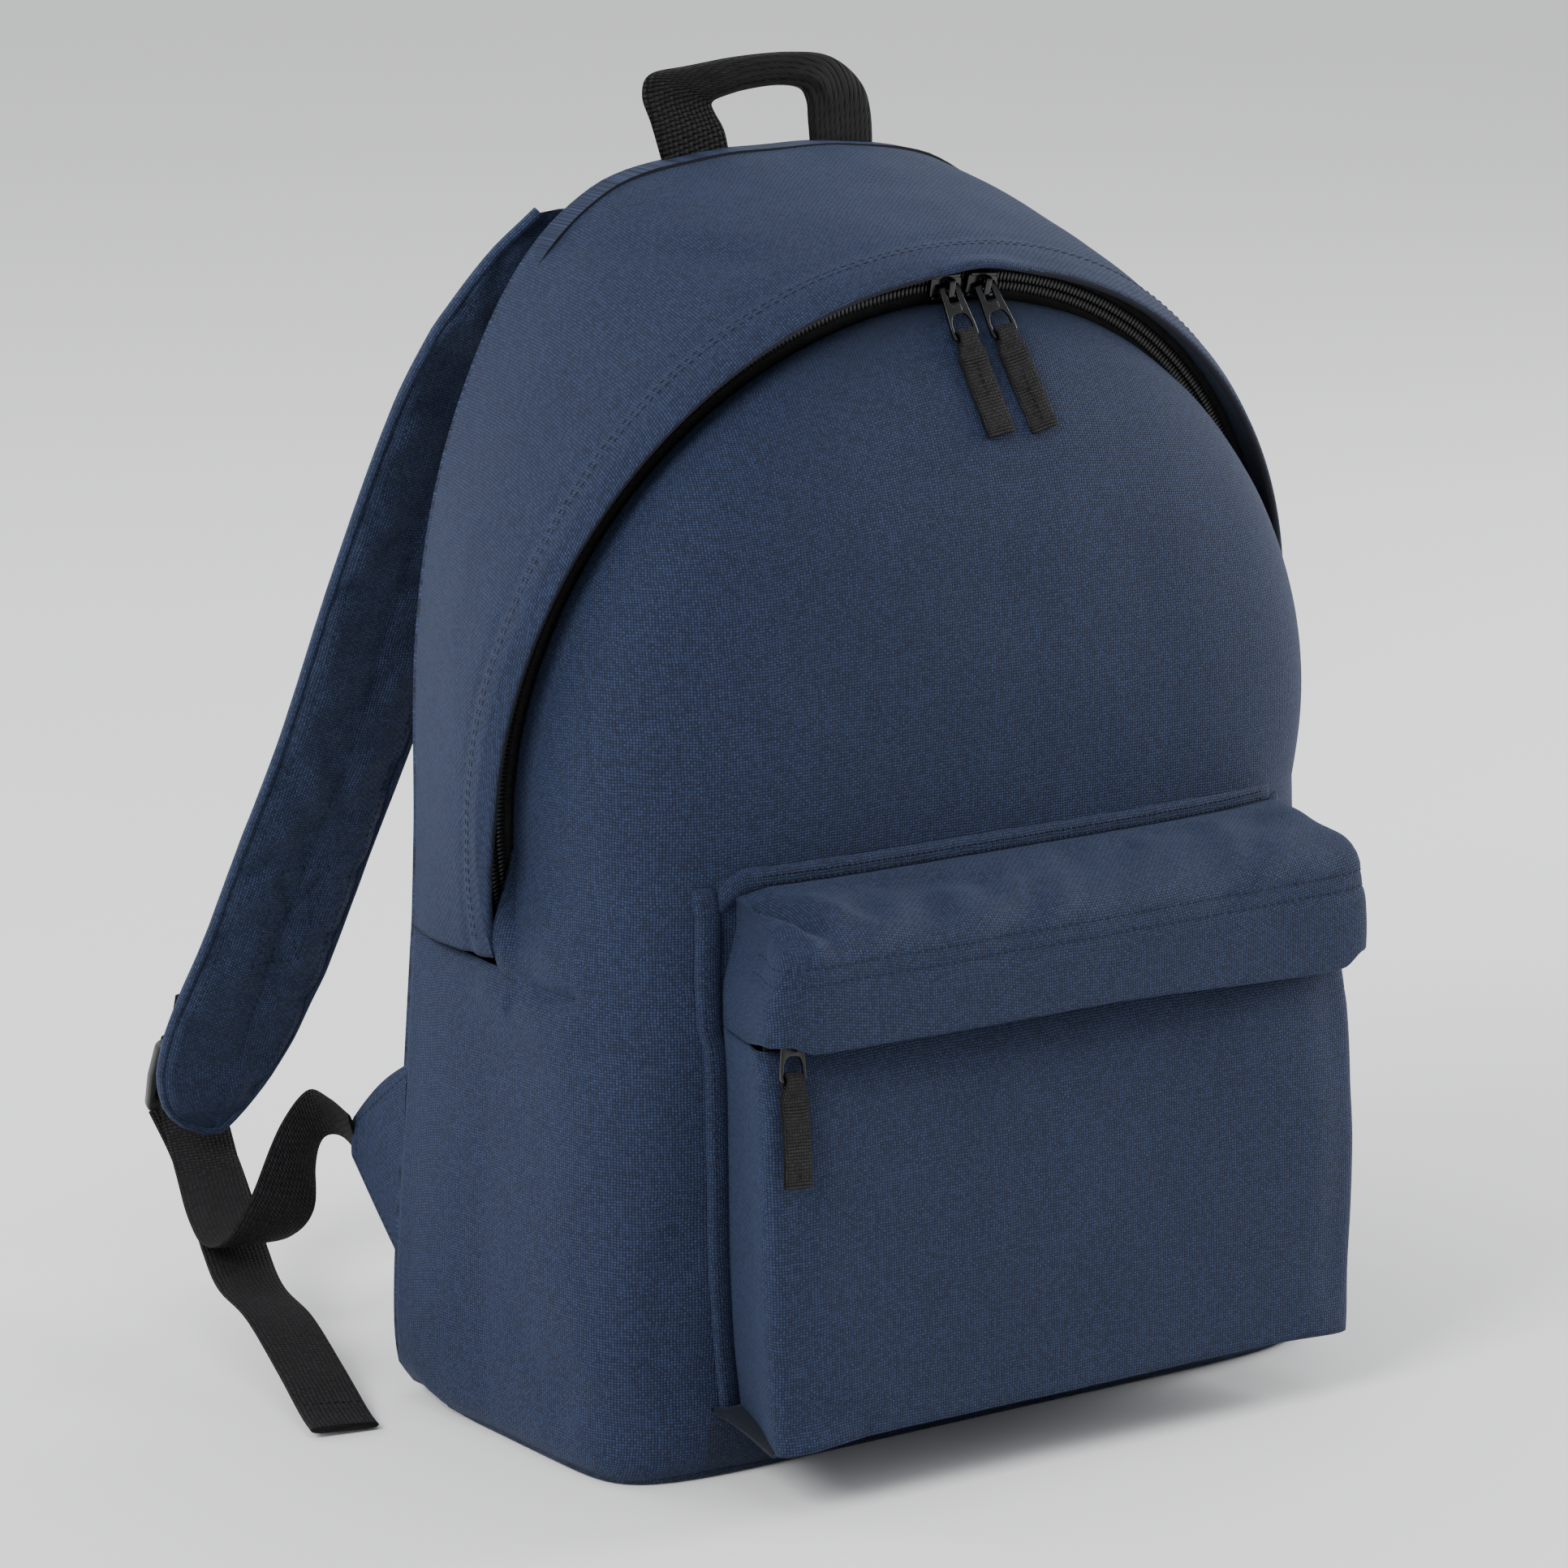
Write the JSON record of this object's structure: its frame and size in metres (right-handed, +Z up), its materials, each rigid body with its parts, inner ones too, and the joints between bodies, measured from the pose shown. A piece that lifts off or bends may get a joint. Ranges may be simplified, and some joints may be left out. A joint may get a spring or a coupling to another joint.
{
  "type": "school backpack",
  "caption": "Soft navy school backpack with an arched two-way zip, a hooded zipped front pocket, a webbing grab handle and padded adjustable shoulder straps.",
  "frame": {"origin": "centre of the base's flat underside", "axes": "+Z up, +Y out of the back panel towards the wearer, -Y towards the front pocket, +X to the right seen from the front"},
  "size_m": [0.4046, 0.3476, 0.4536],
  "materials": {
    "back_panel_skin": "navy woven polyester, slight sheen",
    "lower_wall": "navy woven polyester, slight sheen",
    "top_gusset": "navy woven polyester, slight sheen",
    "front_panel": "navy woven polyester, slight sheen",
    "pocket_shell": "navy woven polyester, slight sheen",
    "pocket_base": "navy woven polyester, slight sheen",
    "pocket_hood": "navy woven polyester, slight sheen",
    "pocket_flange_left": "navy woven polyester, slight sheen",
    "pocket_flange_right": "navy woven polyester, slight sheen",
    "left_anchor_tab": "navy woven polyester, slight sheen",
    "right_anchor_tab": "navy woven polyester, slight sheen",
    "base_panel": "dark navy woven polyester",
    "left_strap_inner_face": "navy woven polyester",
    "left_strap_outer_face": "navy woven polyester",
    "right_strap_inner_face": "navy woven polyester",
    "right_strap_outer_face": "navy woven polyester",
    "back_panel_lining": "dark lining cloth",
    "back_panel_foam": "closed-cell foam",
    "left_strap_foam": "closed-cell foam",
    "right_strap_foam": "closed-cell foam",
    "grab_handle": "black woven webbing",
    "left_adjuster": "black woven webbing",
    "left_webbing_tail": "black woven webbing",
    "left_webbing_turn": "black woven webbing",
    "left_buckle_keeper": "black woven webbing",
    "right_adjuster": "black woven webbing",
    "right_webbing_tail": "black woven webbing",
    "right_webbing_turn": "black woven webbing",
    "right_buckle_keeper": "black woven webbing",
    "main_left_pull_tab": "black woven webbing",
    "main_right_pull_tab": "black woven webbing",
    "pocket_pull_tab": "black woven webbing",
    "zip_tape_front": "black zip tape",
    "zip_tape_rear": "black zip tape",
    "pocket_tape_lower": "black zip tape",
    "pocket_tape_upper": "black zip tape",
    "zip_coil_front": "black zip coil",
    "zip_coil_rear": "black zip coil",
    "pocket_coil_lower": "black zip coil",
    "pocket_coil_upper": "black zip coil",
    "zip_end_left": "black zip coil",
    "zip_end_right": "black zip coil",
    "main_left_slider": "black painted metal",
    "main_left_puller": "black painted metal",
    "main_right_slider": "black painted metal",
    "main_right_puller": "black painted metal",
    "pocket_slider": "black painted metal",
    "pocket_puller": "black painted metal",
    "left_ladderlock": "black moulded plastic",
    "right_ladderlock": "black moulded plastic"
  },
  "bodies": {
    "bag": {"back_panel_skin": "back_panel_skin", "back_panel_foam": "back_panel_foam", "back_panel_lining": "back_panel_lining", "base_panel": "base_panel", "lower_wall": "lower_wall", "top_gusset": "top_gusset", "zip_coil_rear": "zip_coil_rear", "zip_tape_rear": "zip_tape_rear", "zip_end_left": "zip_end_left", "zip_end_right": "zip_end_right", "pocket_shell": "pocket_shell", "pocket_base": "pocket_base", "pocket_hood": "pocket_hood", "pocket_flange_left": "pocket_flange_left", "pocket_flange_right": "pocket_flange_right", "pocket_tape_lower": "pocket_tape_lower", "pocket_tape_upper": "pocket_tape_upper", "pocket_coil_lower": "pocket_coil_lower", "pocket_coil_upper": "pocket_coil_upper", "left_anchor_tab": "left_anchor_tab", "right_anchor_tab": "right_anchor_tab", "left_adjuster": "left_adjuster", "right_adjuster": "right_adjuster", "left_webbing_tail": "left_webbing_tail", "right_webbing_tail": "right_webbing_tail"},
    "front_panel_body": {"front_panel": "front_panel", "zip_coil_front": "zip_coil_front", "zip_tape_front": "zip_tape_front"},
    "handle": {"grab_handle": "grab_handle"},
    "main_left_slider_body": {"main_left_slider": "main_left_slider"},
    "main_left_puller_body": {"main_left_puller": "main_left_puller"},
    "main_left_tab_body": {"main_left_pull_tab": "main_left_pull_tab"},
    "main_right_slider_body": {"main_right_slider": "main_right_slider"},
    "main_right_puller_body": {"main_right_puller": "main_right_puller"},
    "main_right_tab_body": {"main_right_pull_tab": "main_right_pull_tab"},
    "pocket_slider_body": {"pocket_slider": "pocket_slider"},
    "pocket_puller_body": {"pocket_puller": "pocket_puller"},
    "pocket_tab_body": {"pocket_pull_tab": "pocket_pull_tab"},
    "left_strap": {"left_strap_inner_face": "left_strap_inner_face", "left_strap_foam": "left_strap_foam", "left_strap_outer_face": "left_strap_outer_face", "left_buckle_keeper": "left_buckle_keeper"},
    "left_buckle": {"left_ladderlock": "left_ladderlock", "left_webbing_turn": "left_webbing_turn"},
    "right_strap": {"right_strap_inner_face": "right_strap_inner_face", "right_strap_foam": "right_strap_foam", "right_strap_outer_face": "right_strap_outer_face", "right_buckle_keeper": "right_buckle_keeper"},
    "right_buckle": {"right_ladderlock": "right_ladderlock", "right_webbing_turn": "right_webbing_turn"}
  },
  "joints": [
    {"name": "front_panel_fold", "type": "hinge", "parent": "bag", "child": "front_panel_body", "pos_m": [0, -0.0745, 0.2036], "axis": [1, 0, 0], "range_deg": [0, 80]},
    {"name": "handle_swing", "type": "hinge", "parent": "bag", "child": "handle", "pos_m": [0, 0.0696, 0.4216], "axis": [1, 0, 0], "range_deg": [-60, 50], "stiffness_Nm_per_rad": 0.01},
    {"name": "main_left_slider_travel", "type": "hinge", "parent": "front_panel_body", "child": "main_left_slider_body", "pos_m": [0, -0.003, 0.235], "axis": [0, -0.9755, -0.2198], "range_deg": [0, 97]},
    {"name": "main_right_slider_travel", "type": "hinge", "parent": "front_panel_body", "child": "main_right_slider_body", "pos_m": [0, -0.003, 0.235], "axis": [0, -0.9755, -0.2198], "range_deg": [-95, 0]},
    {"name": "pocket_slider_travel", "type": "slide", "parent": "bag", "child": "pocket_slider_body", "axis": [1, 0, 0], "range_m": [0, 0.224]},
    {"name": "main_left_puller_lift", "type": "hinge", "parent": "main_left_slider_body", "child": "main_left_puller_body", "pos_m": [-0.00216, -0.04127, 0.38525], "axis": [-0.9985, 0.0119, -0.0526], "range_deg": [0, 88]},
    {"name": "main_left_tab_lift", "type": "hinge", "parent": "main_left_puller_body", "child": "main_left_tab_body", "pos_m": [-0.00144, -0.04856, 0.36985], "axis": [-0.9985, 0.0119, -0.0526], "range_deg": [0, 40]},
    {"name": "main_right_puller_lift", "type": "hinge", "parent": "main_right_slider_body", "child": "main_right_puller_body", "pos_m": [0.0127, -0.04116, 0.38475], "axis": [-0.993, 0.0259, -0.1148], "range_deg": [0, 88]},
    {"name": "main_right_tab_lift", "type": "hinge", "parent": "main_right_puller_body", "child": "main_right_tab_body", "pos_m": [0.01428, -0.04846, 0.36943], "axis": [-0.993, 0.0259, -0.1148], "range_deg": [0, 40]},
    {"name": "pocket_puller_lift", "type": "hinge", "parent": "pocket_slider_body", "child": "pocket_puller_body", "pos_m": [-0.112, -0.1077, 0.164], "axis": [-0.9962, 0, 0.0872], "range_deg": [0, 8]},
    {"name": "pocket_tab_lift", "type": "hinge", "parent": "pocket_puller_body", "child": "pocket_tab_body", "pos_m": [-0.11347, -0.11037, 0.14722], "axis": [-0.9962, 0, 0.0872], "range_deg": [0, 70]},
    {"name": "left_strap_swing", "type": "hinge", "parent": "bag", "child": "left_strap", "pos_m": [-0.084, 0.0795, 0.4035], "axis": [1, 0, 0], "range_deg": [-12, 40], "deforming": ["left_adjuster", "left_webbing_tail"]},
    {"name": "left_buckle_swing", "type": "hinge", "parent": "left_strap", "child": "left_buckle", "pos_m": [-0.1455, 0.2105, 0.096], "axis": [0.9901, -0.14, 0], "range_deg": [-12, 12]},
    {"name": "right_strap_swing", "type": "hinge", "parent": "bag", "child": "right_strap", "pos_m": [0.084, 0.0795, 0.4035], "axis": [1, 0, 0], "range_deg": [-12, 40], "deforming": ["right_adjuster", "right_webbing_tail"]},
    {"name": "right_buckle_swing", "type": "hinge", "parent": "right_strap", "child": "right_buckle", "pos_m": [0.1455, 0.2105, 0.096], "axis": [0.9901, 0.14, 0], "range_deg": [-12, 12]}
  ],
  "couplings": [
    {"joint": "main_left_puller_lift", "follows": "main_left_slider_travel", "ratio": 0.9},
    {"joint": "main_right_puller_lift", "follows": "main_right_slider_travel", "ratio": -0.9}
  ]
}
